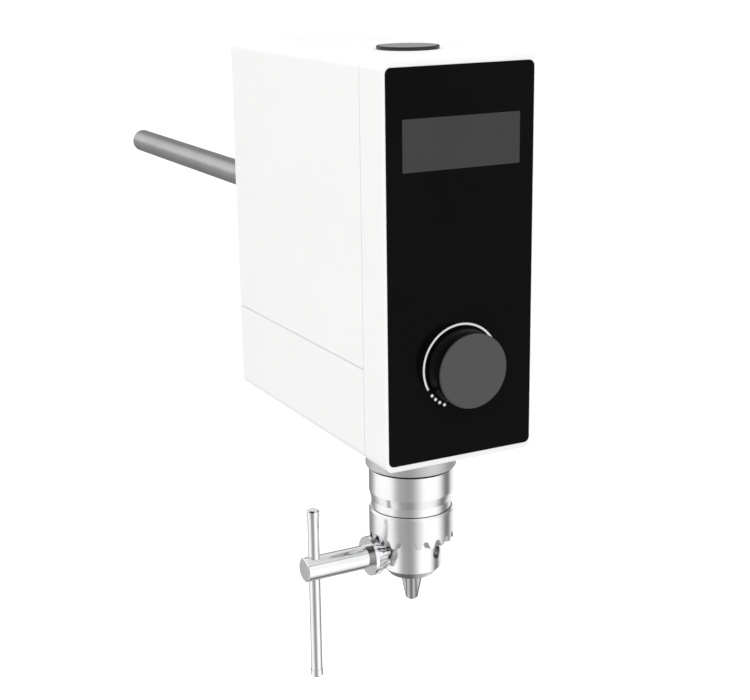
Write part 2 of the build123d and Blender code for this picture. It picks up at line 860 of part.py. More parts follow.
with BuildPart() as spindle:
    post(spindle_y, chuck_top_z, bearing_nut_z + bearing_nut_height, bearing_bore_radius)
    post(spindle_y, bearing_low_z + bearing_width, upper_bearing_z, spindle_body_radius)
    post(spindle_y, spindle_low_z, chuck_top_z, spindle_nose_radius)
    post(spindle_y, bearing_nut_z + bearing_nut_height, spindle_top_z, spindle_top_radius)
    chamfer(spindle.faces().sort_by(Axis.Z)[-1].edges(), spindle_top_chamfer)
    post(spindle_y, spindle_low_z, spindle_top_z, spindle_bore_radius, mode=Mode.SUBTRACT)
finish(spindle, "spindle")

with BuildPart() as bearing_nut:
    ring(
        spindle_y,
        bearing_nut_z,
        bearing_nut_z + bearing_nut_height,
        bearing_nut_radius,
        bearing_bore_radius,
    )
    for index in range(4):
        angle = math.radians(90 * index)
        slot_x = bearing_nut_radius * math.cos(angle)
        slot_y = spindle_y + bearing_nut_radius * math.sin(angle)
        with BuildSketch(level(bearing_nut_z, slot_x, slot_y)):
            Rectangle(nut_slot_width, nut_slot_width)
        extrude(amount=bearing_nut_height, mode=Mode.SUBTRACT)
finish(bearing_nut, "bearing_nut")


def pulley(y, radius, bore):
    """A flat-belt pulley with a flange at each end and a hub."""
    post(y, pulley_low_z, pulley_high_z, radius)
    for low in (pulley_low_z, pulley_high_z - pulley_flange):
        post(y, low, low + pulley_flange, radius + pulley_lip)
    post(y, pulley_high_z, pulley_high_z + pulley_hub_height, bore + pulley_hub_wall)
    post(y, pulley_low_z, pulley_high_z + pulley_hub_height, bore, mode=Mode.SUBTRACT)


with BuildPart() as spindle_pulley:
    pulley(spindle_y, spindle_pulley_radius, spindle_top_radius)
finish(spindle_pulley, "spindle_pulley")

with BuildPart() as motor_pulley:
    pulley(motor_y, motor_pulley_radius, motor_shaft_radius)
finish(motor_pulley, "motor_pulley")


def belt_outline(big, small, mode=Mode.ADD):
    """The loop round two circles, drawn with their tangents."""
    tilt = math.asin((big - small) / motor_distance)
    rise = math.sin(tilt)
    reach = math.cos(tilt)
    Circle(big, mode=mode)
    with Locations((0, motor_distance)):
        Circle(small, mode=mode)
    Polygon(
        (-big * reach, big * rise),
        (-small * reach, motor_distance + small * rise),
        (small * reach, motor_distance + small * rise),
        (big * reach, big * rise),
        align=None,
        mode=mode,
    )


with BuildPart() as drive_belt:
    belt_low_z = pulley_low_z + pulley_flange + belt_side_gap
    belt_high_z = pulley_high_z - pulley_flange - belt_side_gap
    with BuildSketch(level(belt_low_z, 0, spindle_y)):
        belt_outline(
            spindle_pulley_radius + belt_gap + belt_thickness,
            motor_pulley_radius + belt_gap + belt_thickness,
        )
    extrude(amount=belt_high_z - belt_low_z)
    with BuildSketch(level(belt_low_z, 0, spindle_y)):
        belt_outline(spindle_pulley_radius + belt_gap, motor_pulley_radius + belt_gap)
    extrude(amount=belt_high_z - belt_low_z, mode=Mode.SUBTRACT)
finish(drive_belt, "drive_belt")

# Motor
with BuildPart() as motor_can:
    post(motor_y, motor_low_z, motor_can_top_z, motor_radius)
    chamfer(motor_can.faces().sort_by(Axis.Z)[0].edges(), motor_edge)
    post(motor_y, motor_low_z + motor_wall, motor_can_top_z, motor_radius - motor_wall, mode=Mode.SUBTRACT)
finish(motor_can, "motor_can")

with BuildPart() as motor_end_plate:
    post(motor_y, motor_can_top_z, plate_low_z, motor_radius)
    post(motor_y, plate_low_z, plate_low_z + motor_register_height, motor_register_radius)
    post(
        motor_y,
        motor_can_top_z,
        motor_can_top_z + motor_bearing_width,
        motor_bearing_radius,
        mode=Mode.SUBTRACT,
    )
    post(
        motor_y,
        motor_can_top_z,
        plate_low_z + motor_register_height,
        motor_shaft_radius + moving_gap,
        mode=Mode.SUBTRACT,
    )
finish(motor_end_plate, "motor_end_plate")

with BuildPart() as motor_stator:
    ring(motor_y, rotor_low_z, rotor_high_z, motor_radius - motor_wall, stator_inner_radius)
finish(motor_stator, "motor_stator")

with BuildPart() as motor_rotor:
    shaft_low_z = motor_low_z + motor_wall + motor_shaft_end_gap
    post(motor_y, rotor_low_z, rotor_high_z, stator_inner_radius - rotor_gap)
    post(motor_y, shaft_low_z, pulley_high_z + pulley_hub_height, motor_shaft_radius)
finish(motor_rotor, "motor_rotor")

with BuildPart() as motor_bearings:
    ring(
        motor_y,
        motor_can_top_z,
        motor_can_top_z + motor_bearing_width,
        motor_bearing_radius,
        motor_shaft_radius + running_gap,
    )
    ring(
        motor_y,
        motor_low_z + motor_wall,
        motor_low_z + motor_wall + motor_bearing_width,
        motor_bearing_radius,
        motor_shaft_radius + running_gap,
    )
finish(motor_bearings, "motor_bearings")

# Driver board on the chassis arms
with BuildPart() as driver_board:
    half_board = plate_width / 2 - driver_side_gap
    block((-half_board, driver_front_y, driver_low_z), (half_board, driver_back_y, driver_top_z))
finish(driver_board, "driver_board")

with BuildPart() as capacitors:
    capacitor_y = driver_front_y + capacitor_inset
    for x in (-capacitor_spacing, 0, capacitor_spacing):
        post(capacitor_y, driver_top_z, driver_top_z + capacitor_height, capacitor_radius, x)
finish(capacitors, "capacitors")

# Power inlet and rocker switch
socket_floor_y = inlet_flange_thickness - inlet_socket_depth
inlet_width, inlet_height = inlet_flange
bezel_width, bezel_height = bezel_size

with BuildPart() as power_inlet:
    panel_block(inlet_x, power_z, inlet_body[0], inlet_body[1], -inlet_body_depth, 0)
    panel_block(inlet_x, power_z, inlet_width, inlet_height, 0, inlet_flange_thickness, inlet_flange_radius)
    panel_block(
        inlet_x,
        power_z,
        inlet_socket[0],
        inlet_socket[1],
        socket_floor_y,
        inlet_flange_thickness,
        inlet_socket_radius,
        Mode.SUBTRACT,
    )
finish(power_inlet, "power_inlet")

with BuildPart() as inlet_pins:
    for x, z in ((-pin_spacing, -pin_offset), (0, pin_offset), (pin_spacing, -pin_offset)):
        pin_end_y = socket_floor_y + pin_length
        panel_block(inlet_x + x, power_z + z, pin_width, pin_height, socket_floor_y, pin_end_y)
finish(inlet_pins, "inlet_pins")

pivot_y = -rocker_pivot_depth
pivot_reach = rocker_width / 2 + moving_gap + rocker_pivot_reach
with BuildPart() as switch_housing:
    panel_block(switch_x, power_z, switch_body[0], switch_body[1], -switch_depth, 0)
    panel_block(switch_x, power_z, bezel_width, bezel_height, 0, bezel_thickness, bezel_radius)
    panel_block(
        switch_x,
        power_z,
        rocker_width + 2 * moving_gap,
        rocker_height + 2 * moving_gap,
        -switch_well_depth,
        bezel_thickness,
        0,
        Mode.SUBTRACT,
    )
    bar(
        (switch_x - pivot_reach - rocker_pivot_end_gap, pivot_y, power_z),
        (switch_x + pivot_reach + rocker_pivot_end_gap, pivot_y, power_z),
        rocker_pivot_radius + running_gap,
        Mode.SUBTRACT,
    )
finish(switch_housing, "switch_housing")

# The rocker is drawn level, then leans to the side where its lower half stands out
half_rocker = rocker_height / 2 - rocker_end_gap
lean = rocker_angle / 2
with BuildPart() as rocker:
    with BuildSketch(Plane(origin=(switch_x, pivot_y, power_z), x_dir=(0, 1, 0), z_dir=(1, 0, 0))):
        with BuildLine():
            Polyline(
                (rocker_rise, -half_rocker),
                (rocker_rise - rocker_dip, 0),
                (rocker_rise, half_rocker),
                (-rocker_side, half_rocker),
                (-rocker_heel, rocker_heel_half),
                (-rocker_heel, -rocker_heel_half),
                (-rocker_side, -half_rocker),
                close=True,
            )
        make_face()
    extrude(amount=rocker_width / 2, both=True)
    pivot_start = (switch_x - pivot_reach, pivot_y, power_z)
    bar(pivot_start, (switch_x + pivot_reach, pivot_y, power_z), rocker_pivot_radius)
pivot_axis = Axis((switch_x, pivot_y, power_z), (1, 0, 0))
with BuildPart() as switch_rocker:
    add(rocker.part.rotate(pivot_axis, -lean))
finish(switch_rocker, "switch_rocker")

# Support rod and its lock screw
with BuildPart() as support_rod:
    across(0, 0, 0, rod_length, rod_radius)
    chamfer(support_rod.faces().sort_by(Axis.Y)[-1].edges(), rod_chamfer)
    across(0, 0, -spigot_length, 0, spigot_radius)
finish(support_rod, "support_rod")

with BuildPart() as rod_lock_screw:
    post(lock_y, -rod_boss_radius, -spigot_radius - slip_gap, lock_screw_radius - slip_gap / 2)
    with BuildSketch(level(-rod_boss_radius, 0, lock_y)):
        RegularPolygon(lock_socket_radius, 6, major_radius=False)
    extrude(amount=lock_socket_depth, mode=Mode.SUBTRACT)
finish(rod_lock_screw, "rod_lock_screw")

# Cap over the spindle's upper end
with BuildPart() as top_cap:
    cap_low_z = top_z + cap_seat_gap
    skirt_radius = cap_hole_radius - moving_gap
    post(spindle_y, cap_low_z, top_z + cap_height, cap_radius)
    chamfer(top_cap.faces().sort_by(Axis.Z)[-1].edges(), small_edge)
    post(spindle_y, top_z - cap_skirt_depth, cap_low_z, skirt_radius)
    skirt_bore = skirt_radius - cap_skirt_wall
    inlay_low_z = top_z + cap_height - cap_inlay_thickness
    post(spindle_y, top_z - cap_skirt_depth, top_z - cap_floor, skirt_bore, mode=Mode.SUBTRACT)
    post(spindle_y, inlay_low_z, top_z + cap_height, cap_inlay_radius, mode=Mode.SUBTRACT)
finish(top_cap, "top_cap")

with BuildPart() as cap_inlay:
    post(spindle_y, inlay_low_z, top_z + cap_height, cap_inlay_radius - slip_gap / 2)
finish(cap_inlay, "cap_inlay")


def jaw_axis_radius(z):
    """How far a closed jaw's centre line stands from the spindle axis at height z."""
    return jaw_tip_offset + (z - jaw_tip_z) * jaw_slope


def jaw_point(azimuth, z):
    """A point on a closed jaw's centre line."""
    angle = math.radians(azimuth)
    radius = jaw_axis_radius(z)
    return (radius * math.cos(angle), spindle_y + radius * math.sin(angle), z)


def nose_point(azimuth, radius):
    """A point at the key's height and at this radius from the spindle axis."""
    angle = math.radians(azimuth)
    return (radius * math.cos(angle), spindle_y + radius * math.sin(angle), key_z)


jaw_azimuths = (0.0, 120.0, 240.0)
key_azimuths = (180.0, 300.0, 60.0)
jaw_top_z = jaw_tip_z + jaw_length_up
jaw_rise = jaw_travel * math.cos(math.radians(jaw_angle))
jaw_hole_top_z = jaw_top_z + jaw_rise + jaw_end_room
jaw_hole_low_z = nose_end_z - jaw_radius - jaw_fit

# Chuck body, turned, then bored for the jaws and for the key's pilot
with BuildPart() as chuck_body:
    with BuildSketch(Plane(origin=(0, spindle_y, 0), x_dir=(1, 0, 0), z_dir=(0, -1, 0))):
        with BuildLine():
            Polyline(
                (0, chuck_top_z),
                (chuck_collar_radius - seam_step, chuck_top_z),
                (chuck_collar_radius, chuck_top_z - seam_step),
                (chuck_collar_radius, chuck_top_z - chuck_collar_height),
                (chuck_waist_radius, waist_z),
                (chuck_waist_radius, sleeve_top_z + moving_gap),
                (nose_radius, sleeve_top_z + moving_gap),
                (nose_radius, nut_top_z + moving_gap),
                (nut_groove_radius, nut_top_z + moving_gap),
                (nut_groove_radius, nut_low_z - moving_gap),
                (nose_radius, nut_low_z - moving_gap),
                (nose_radius, nose_z),
                (nose_tip_radius + nose_end_extra, nose_end_z + seam_step),
                (nose_tip_radius, nose_end_z),
                (0, nose_end_z),
                close=True,
            )
        make_face()
    revolve(axis=spindle_axis)
    post(spindle_y, spindle_low_z, chuck_top_z, spindle_nose_radius, mode=Mode.SUBTRACT)
    post(spindle_y, nose_end_z, chuck_top_z, spindle_bore_radius + chuck_bore_gap, mode=Mode.SUBTRACT)
    for azimuth in jaw_azimuths:
        bar(
            jaw_point(azimuth, jaw_hole_low_z),
            jaw_point(azimuth, jaw_hole_top_z),
            jaw_radius + jaw_fit,
            Mode.SUBTRACT,
        )
    for azimuth in key_azimuths:
        outer_end = nose_point(azimuth, nose_radius + cut_past)
        bar(outer_end, nose_point(azimuth, pilot_hole_bottom), pilot_radius + pilot_fit, Mode.SUBTRACT)
finish(chuck_body, "chuck_body")

# Jaws: round bars cut to a third each so that they close on the spindle axis
for number, azimuth in enumerate(jaw_azimuths, start=1):
    with BuildPart() as jaw:
        bar(jaw_point(azimuth, jaw_tip_z - jaw_radius), jaw_point(azimuth, jaw_top_z), jaw_radius)
        apex = jaw_side_gap / math.sin(math.radians(60))
        far = 2 * sleeve_radius
        angle = math.radians(azimuth)
        outward = (math.cos(angle), math.sin(angle), 0)
        with BuildSketch(Plane(origin=(0, spindle_y, jaw_tip_z), x_dir=outward)):
            with BuildLine():
                Polyline(
                    (apex, 0),
                    (apex + far, far * math.tan(math.radians(60))),
                    (apex + far, -far * math.tan(math.radians(60))),
                    close=True,
                )
            make_face()
        extrude(amount=jaw_length_up + 2 * jaw_radius, mode=Mode.INTERSECT)
        lowest = jaw.faces().sort_by(Axis.Z)[0]
        chamfer(lowest.edges().filter_by(GeomType.LINE, reverse=True), jaw_tip_chamfer)
    finish(jaw, f"jaw_{number}")

# Gearing: every tooth space narrows towards the point where the key's axis meets the spindle's
gear_reference = sleeve_radius
tooth_pitch = 2 * math.pi * gear_reference / sleeve_teeth
tooth_thickness = (tooth_pitch - backlash) / 2
pitch_height = gear_reference * key_teeth / sleeve_teeth


def height_at(angle):
    """The height above the key's axis of a cone of this angle, at the sleeve's outer radius."""
    return gear_reference * math.tan(math.radians(angle))


def space_half_width(height):
    """Half the width of the sleeve's tooth space at a height above the key's axis."""
    flare = math.tan(math.radians(pressure_angle))
    return (tooth_pitch - tooth_thickness) / 2 - (height - pitch_height) * flare


with BuildPart() as tooth_space:
    space_top = height_at(sleeve_root_angle)
    space_low = height_at(sleeve_face_angle) - cut_past
    for distance in (nose_radius - cut_past, sleeve_radius + cut_past):
        scale_here = distance / gear_reference
        here = Plane(origin=(-distance, spindle_y, key_z), x_dir=(0, -1, 0), z_dir=(-1, 0, 0))
        with BuildSketch(here):
            with BuildLine():
                Polyline(
                    (-space_half_width(space_top) * scale_here, space_top * scale_here),
                    (space_half_width(space_top) * scale_here, space_top * scale_here),
                    (space_half_width(space_low) * scale_here, space_low * scale_here),
                    (-space_half_width(space_low) * scale_here, space_low * scale_here),
                    close=True,
                )
            make_face()
    loft()

with BuildPart() as chuck_sleeve:
    face_slope = math.tan(math.radians(sleeve_face_angle))
    sleeve_bore = nose_radius + sleeve_fit
    with BuildSketch(Plane(origin=(0, spindle_y, 0), x_dir=(1, 0, 0), z_dir=(0, -1, 0))):
        with BuildLine():
            Polyline(
                (nut_outer_radius, sleeve_top_z),
                (sleeve_radius - sleeve_edge_width, sleeve_top_z),
                (sleeve_radius, sleeve_top_z - sleeve_edge_height),
                (sleeve_radius, key_z + sleeve_radius * face_slope),
                (sleeve_bore, key_z + sleeve_bore * face_slope),
                (sleeve_bore, nut_low_z),
                (nut_outer_radius, nut_low_z),
                close=True,
            )
        make_face()
    revolve(axis=spindle_axis)
    for index in range(sleeve_teeth):
        turn = (index + 0.5) * 360 / sleeve_teeth
        add(tooth_space.part.rotate(spindle_axis, turn), mode=Mode.SUBTRACT)
finish(chuck_sleeve, "chuck_sleeve")

# Split nut that drives the jaws
with BuildPart() as chuck_nut:
    along = nut_jaw_gap / math.cos(math.radians(jaw_angle))
    with BuildSketch(Plane(origin=(0, spindle_y, 0), x_dir=(1, 0, 0), z_dir=(0, -1, 0))):
        jaw_outer = jaw_radius / math.cos(math.radians(jaw_angle))
        with BuildLine():
            Polyline(
                (jaw_axis_radius(nut_top_z) + jaw_outer + along, nut_top_z),
                (nut_outer_radius, nut_top_z),
                (nut_outer_radius, nut_low_z),
                (jaw_axis_radius(nut_low_z) + jaw_outer + along, nut_low_z),
                close=True,
            )
        make_face()
    revolve(axis=spindle_axis)
    block(
        (-nut_outer_radius, spindle_y - nut_split / 2, nut_low_z),
        (nut_outer_radius, spindle_y + nut_split / 2, nut_top_z),
        Mode.SUBTRACT,
    )
finish(chuck_nut, "chuck_nut")

# Chuck key with its bevel pinion
pinion_pitch = pitch_height
pinion_tip = height_at(pinion_tip_angle)
pinion_root = height_at(pinion_root_angle)
pinion_base = pinion_pitch * math.cos(math.radians(pressure_angle))


def involute_angle(radius):
    """The involute function at a radius, in radians."""
    if radius <= pinion_base:
        return 0.0
    opening = math.acos(pinion_base / radius)
    return math.tan(opening) - opening


def half_tooth_angle(radius):
    """Half of the angle that a pinion tooth fills at a radius."""
    at_pitch = tooth_thickness / 2 / pinion_pitch
    return at_pitch + involute_angle(pinion_pitch) - involute_angle(radius)


def polar(radius, angle, size):
    """A point in the pinion's section, scaled by size."""
    return (radius * size * math.cos(angle), radius * size * math.sin(angle))


def pinion_outline(size):
    """The pinion's section, with a tooth space pointing up."""
    step = 2 * math.pi / key_teeth
    flank_middle = (pinion_base + pinion_tip) / 2
    with BuildLine() as outline:
        for tooth in range(key_teeth):
            centre = math.pi / 2 + (tooth + 0.5) * step
            base = half_tooth_angle(pinion_base)
            middle = half_tooth_angle(flank_middle)
            tip = half_tooth_angle(pinion_tip)
            Line(polar(pinion_root, centre - base, size), polar(pinion_base, centre - base, size))
            ThreePointArc(
                polar(pinion_base, centre - base, size),
                polar(flank_middle, centre - middle, size),
                polar(pinion_tip, centre - tip, size),
            )
            ThreePointArc(
                polar(pinion_tip, centre - tip, size),
                polar(pinion_tip, centre, size),
                polar(pinion_tip, centre + tip, size),
            )
            ThreePointArc(
                polar(pinion_tip, centre + tip, size),
                polar(flank_middle, centre + middle, size),
                polar(pinion_base, centre + base, size),
            )
            Line(polar(pinion_base, centre + base, size), polar(pinion_root, centre + base, size))
            ThreePointArc(
                polar(pinion_root, centre + base, size),
                polar(pinion_root, centre + step / 2, size),
                polar(pinion_root, centre + step - base, size),
            )
    make_face(outline.edges())


with BuildPart() as chuck_key:
    for distance in (pinion_front, pinion_back):
        with BuildSketch(Plane(origin=(-distance, spindle_y, key_z), x_dir=(0, -1, 0), z_dir=(-1, 0, 0))):
            pinion_outline(distance / gear_reference)
    loft()
    with BuildSketch(Plane(origin=(-pinion_back, spindle_y, key_z), z_dir=(1, 0, 0))):
        Circle(pinion_max_radius)
    extrude(amount=pinion_back - pinion_front, mode=Mode.INTERSECT)
    # Plain collar behind the teeth
    collar_front = (pinion_collar_width - pinion_back, spindle_y, key_z)
    bar((-pinion_back, spindle_y, key_z), collar_front, pinion_max_radius)
    bar((-key_reach, spindle_y, key_z), (-pinion_back, spindle_y, key_z), key_radius)
    chamfer(chuck_key.faces().sort_by(Axis.X)[0].edges(), key_end_chamfer)
    bar((-pinion_front, spindle_y, key_z), (-pilot_tip, spindle_y, key_z), pilot_radius)
    hole_ends = (key_z - 2 * key_radius, key_z + 2 * key_radius)
    post(spindle_y, *hole_ends, bar_radius + bar_fit, -bar_from_axis, Mode.SUBTRACT)
finish(chuck_key, "chuck_key")

# Cross bar that slides in the key, with a swaged head at each end
with BuildPart() as key_bar:
    bar_low_z = key_z - bar_below_key
    bar_high_z = bar_low_z + bar_length
    bar_head_radius = bar_radius + bar_head_rise
    post(spindle_y, bar_low_z, bar_high_z, bar_radius, -bar_from_axis)
    post(spindle_y, bar_low_z, bar_low_z + bar_head_length, bar_head_radius, -bar_from_axis)
    post(spindle_y, bar_high_z - bar_head_length, bar_high_z, bar_head_radius, -bar_from_axis)
    ends = key_bar.faces().sort_by(Axis.Z)
    chamfer([ends[0].edges()[0], ends[-1].edges()[0]], bar_end_chamfer)
finish(key_bar, "key_bar")
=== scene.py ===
import json
import math

import bmesh
import bpy
from mathutils import Matrix, Vector


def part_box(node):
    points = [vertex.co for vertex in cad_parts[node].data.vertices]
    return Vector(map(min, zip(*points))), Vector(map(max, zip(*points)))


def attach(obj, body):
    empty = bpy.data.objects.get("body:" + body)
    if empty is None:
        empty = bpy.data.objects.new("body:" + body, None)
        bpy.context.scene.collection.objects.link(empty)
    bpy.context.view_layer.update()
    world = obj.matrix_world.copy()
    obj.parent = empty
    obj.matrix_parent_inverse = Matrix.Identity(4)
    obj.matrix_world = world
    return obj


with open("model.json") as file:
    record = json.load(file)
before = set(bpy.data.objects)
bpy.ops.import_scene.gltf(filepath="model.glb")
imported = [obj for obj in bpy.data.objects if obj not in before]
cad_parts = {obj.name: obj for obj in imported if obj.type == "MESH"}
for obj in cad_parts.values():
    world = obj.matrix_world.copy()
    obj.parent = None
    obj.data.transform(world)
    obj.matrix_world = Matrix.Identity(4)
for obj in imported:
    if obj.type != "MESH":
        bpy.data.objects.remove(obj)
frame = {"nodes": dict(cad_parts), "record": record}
nodes = frame["nodes"]
joints = {joint["name"]: joint for joint in frame["record"]["behaviour"]["joints"]}
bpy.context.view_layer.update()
mm = 0.001

# Places taken from the frame
spindle_y = joints["spindle_spin"]["pos_m"][1]
knob_z = joints["knob_turn"]["pos_m"][2]
knob_face_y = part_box("knob")[0].y
panel_front_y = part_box("front_panel")[0].y
chuck_top_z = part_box("chuck_body")[1].z

# Camera, as fitted to the photograph
camera_azimuth = -27.52
camera_elevation = 15.66
camera_roll = -0.79
camera_distance = 0.72884
camera_target = Vector((-0.04891, -0.1846, -0.04524))
focal_pixels = 1492.84
picture_width = 750
sensor_width = 36


def make_camera():
    azimuth = math.radians(camera_azimuth)
    elevation = math.radians(camera_elevation)
    roll = math.radians(camera_roll)
    flat = math.cos(elevation)
    back = Vector((math.sin(azimuth) * flat, -math.cos(azimuth) * flat, math.sin(elevation)))
    level = Vector((math.cos(azimuth), math.sin(azimuth), 0))
    upright = back.cross(level)
    right = level * math.cos(roll) + upright * math.sin(roll)
    up = upright * math.cos(roll) - level * math.sin(roll)
    data = bpy.data.cameras.new("camera")
    data.sensor_width = sensor_width
    data.sensor_fit = "HORIZONTAL"
    data.lens = focal_pixels / picture_width * sensor_width
    data.clip_start = 0.01
    data.clip_end = 50
    camera = bpy.data.objects.new("camera", data)
    bpy.context.scene.collection.objects.link(camera)
    place = Matrix((right, up, back)).transposed().to_4x4()
    place.translation = camera_target + back * camera_distance
    camera.matrix_world = place
    bpy.context.scene.camera = camera


make_camera()


class Tree:
    """A node tree under construction, with short calls for its nodes."""

    def __init__(self, tree):
        self.tree = tree

    def new(self, kind, **settings):
        node = self.tree.nodes.new(kind)
        for name, value in settings.items():
            setattr(node, name, value)
        return node

    def link(self, source, target):
        self.tree.links.new(source, target)

    def feed(self, socket, value):
        """Links a socket or sets a constant."""
        if isinstance(value, (int, float)):
            socket.default_value = value
        elif isinstance(value, tuple):
            socket.default_value = (*value, 1)
        else:
            self.link(value, socket)

    def calc(self, operation, *values):
        node = self.new("ShaderNodeMath", operation=operation)
        for socket, value in zip(node.inputs, values):
            self.feed(socket, value)
        return node.outputs["Value"]

    def ramp(self, factor, stops, interpolation="LINEAR"):
        """A colour ramp. Each stop is a position with a grey level or a colour."""
        node = self.new("ShaderNodeValToRGB")
        node.color_ramp.interpolation = interpolation
        elements = node.color_ramp.elements
        while len(elements) < len(stops):
            elements.new(0.5)
        for element, (position, tone) in zip(elements, stops):
            element.position = position
            element.color = (*tone, 1) if isinstance(tone, tuple) else (tone, tone, tone, 1)
        self.link(factor, node.inputs["Fac"])
        return node.outputs["Color"]

    def split(self, vector):
        node = self.new("ShaderNodeSeparateXYZ")
        self.link(vector, node.inputs[0])
        return node.outputs

    def mix(self, factor, first, second, blend="MIX"):
        """A mix of two colours."""
        node = self.new("ShaderNodeMix", data_type="RGBA", blend_type=blend)
        self.feed(node.inputs[0], factor)
        self.feed(node.inputs[6], first)
        self.feed(node.inputs[7], second)
        return node.outputs[2]


class Material(Tree):
    """A Principled material under construction."""

    def __init__(self, name):
        self.material = bpy.data.materials.new(name)
        self.material.use_nodes = True
        super().__init__(self.material.node_tree)
        self.shader = self.tree.nodes["Principled BSDF"]
        self.places = self.new("ShaderNodeTexCoord").outputs["Object"]

    def set(self, **values):
        for name, value in values.items():
            self.shader.inputs[name.replace("_", " ")].default_value = value

    def to(self, socket, value):
        self.link(value, self.shader.inputs[socket])

    def where(self, scale=(1, 1, 1), rotation=(0, 0, 0), location=(0, 0, 0)):
        """The object's own coordinates, scaled, turned and moved."""
        node = self.new("ShaderNodeMapping")
        node.inputs["Scale"].default_value = scale
        node.inputs["Rotation"].default_value = rotation
        node.inputs["Location"].default_value = location
        self.link(self.places, node.inputs["Vector"])
        return node.outputs["Vector"]

    def noise(self, vector, scale, detail=3.0, rough=0.55, distort=0.0):
        node = self.new("ShaderNodeTexNoise")
        node.inputs["Scale"].default_value = scale
        node.inputs["Detail"].default_value = detail
        node.inputs["Roughness"].default_value = rough
        node.inputs["Distortion"].default_value = distort
        self.link(vector, node.inputs["Vector"])
        return node.outputs["Fac"]

    def noise_along(self, path, scale, detail, rough):
        """Noise that changes along one measure only."""
        node = self.new("ShaderNodeCombineXYZ")
        self.link(path, node.inputs[0])
        return self.noise(node.outputs[0], scale, detail, rough)

    def radius(self, first, second):
        """The distance from an axis, from the two coordinates across it."""
        squares = (self.calc("MULTIPLY", first, first), self.calc("MULTIPLY", second, second))
        return self.calc("SQRT", self.calc("ADD", *squares))

    def span(self, factor, from_low, from_high, to_low, to_high):
        node = self.new("ShaderNodeMapRange")
        node.inputs["From Min"].default_value = from_low
        node.inputs["From Max"].default_value = from_high
        node.inputs["To Min"].default_value = to_low
        node.inputs["To Max"].default_value = to_high
        self.link(factor, node.inputs["Value"])
        return node.outputs["Result"]

    def bump(self, height, strength, depth):
        node = self.new("ShaderNodeBump")
        node.inputs["Strength"].default_value = strength
        node.inputs["Distance"].default_value = depth
        self.link(height, node.inputs["Height"])
        self.to("Normal", node.outputs["Normal"])


def grey(level, blue=None):
    """A neutral colour whose blue may differ a little."""
    return (level, level, level if blue is None else blue)


def scaled(color, share):
    return tuple(min(1.0, part * share) for part in color)


grain_depth = 0.04 * mm
cut_depth = 0.02 * mm


def paint(name, color, rough, grain, bump, gloss, tint):
    """A sprayed or moulded finish: fine orange peel, slight colour and gloss variation."""
    made = Material(name)
    made.set(Roughness=rough, Specular_IOR_Level=gloss)
    places = made.where()
    tone = made.noise(places, 18.0, 3.0, 0.6)
    made.to("Base Color", made.ramp(tone, [(0.3, scaled(color, 1 - tint)), (0.7, scaled(color, 1 + tint))]))
    made.to("Roughness", made.span(made.noise(places, 60.0, 4.0, 0.6), 0.3, 0.7, rough * 0.9, rough * 1.1))
    made.bump(made.noise(places, grain, 2.0, 0.5), bump, grain_depth)
    return made


def metal(name, color, rough, streak, depth):
    """A worked metal: streaks along the cut and small colour and gloss changes."""
    made = Material(name)
    made.set(Metallic=1.0, Roughness=rough)
    lines = made.noise(made.where(scale=streak), 400.0, 5.0, 0.7)
    tone = made.noise(made.where(), 35.0, 4.0, 0.6)
    made.to("Base Color", made.ramp(tone, [(0.3, scaled(color, 0.93)), (0.7, scaled(color, 1.05))]))
    made.to("Roughness", made.span(lines, 0.25, 0.75, rough * 0.8, rough * 1.25))
    made.bump(lines, depth, cut_depth)
    return made


def turned(name, color, rough, pitch, depth):
    """Lathe-turned metal: fine rings about the spindle's axis, on end faces and along the length."""
    made = Material(name)
    made.set(Metallic=1.0, Roughness=rough)
    x, y, z = made.split(made.where(location=(0, -spindle_y, 0)))
    path = made.calc("ADD", made.radius(x, y), z)
    lines = made.noise_along(path, 1.0 / pitch, 4.0, 0.7)
    tone = made.noise(made.where(), 40.0, 4.0, 0.6)
    made.to("Base Color", made.ramp(tone, [(0.3, scaled(color, 0.95)), (0.7, scaled(color, 1.03))]))
    made.to("Roughness", made.span(lines, 0.25, 0.75, rough * 0.75, rough * 1.3))
    made.bump(lines, depth, cut_depth)
    return made


def glazed(name, tones, tone_noise, gloss, rough, sheen):
    """A smooth glossy sheet with faint changes of tone and gloss."""
    made = Material(name)
    made.set(Roughness=rough, Specular_IOR_Level=gloss)
    tone = made.noise(made.where(), *tone_noise)
    made.to("Base Color", made.ramp(tone, [(0.3, tones[0]), (0.7, tones[1])]))
    made.to("Roughness", made.span(made.noise(made.where(), 55.0, 5.0, 0.6, 0.4), 0.3, 0.7, *sheen))
    return made


def circuit_board():
    """Green board with a fine pattern of paler lines."""
    made = Material("board_green")
    made.set(Roughness=0.35)
    pattern = made.new("ShaderNodeTexBrick")
    pattern.inputs["Scale"].default_value = 160.0
    pattern.inputs["Color1"].default_value = (0.010, 0.10, 0.04, 1)
    pattern.inputs["Color2"].default_value = (0.014, 0.13, 0.05, 1)
    pattern.inputs["Mortar"].default_value = (0.03, 0.20, 0.08, 1)
    made.link(made.where(rotation=(math.pi / 2, 0, 0)), pattern.inputs["Vector"])
    made.to("Base Color", pattern.outputs["Color"])
    return made


def knob_finish():
    """Satin face with spun rings, and a near-black side."""
    made = Material("knob_grey")
    made.set(Roughness=0.42, Specular_IOR_Level=0.12)
    x, y, z = made.split(made.where(location=(0, -knob_face_y, -knob_z)))
    face = made.span(y, 1.3 * mm, 0.2 * mm, 0.0, 1.0)
    rings = made.noise_along(made.radius(x, z), 5200.0, 3.0, 0.6)
    face_color = made.ramp(rings, [(0.3, grey(0.070, 0.071)), (0.7, grey(0.078, 0.079))])
    made.to("Base Color", made.mix(face, grey(0.0018, 0.0019), face_color))
    made.to("Roughness", made.span(rings, 0.3, 0.7, 0.40, 0.48))
    made.bump(rings, 0.05, cut_depth)
    return made


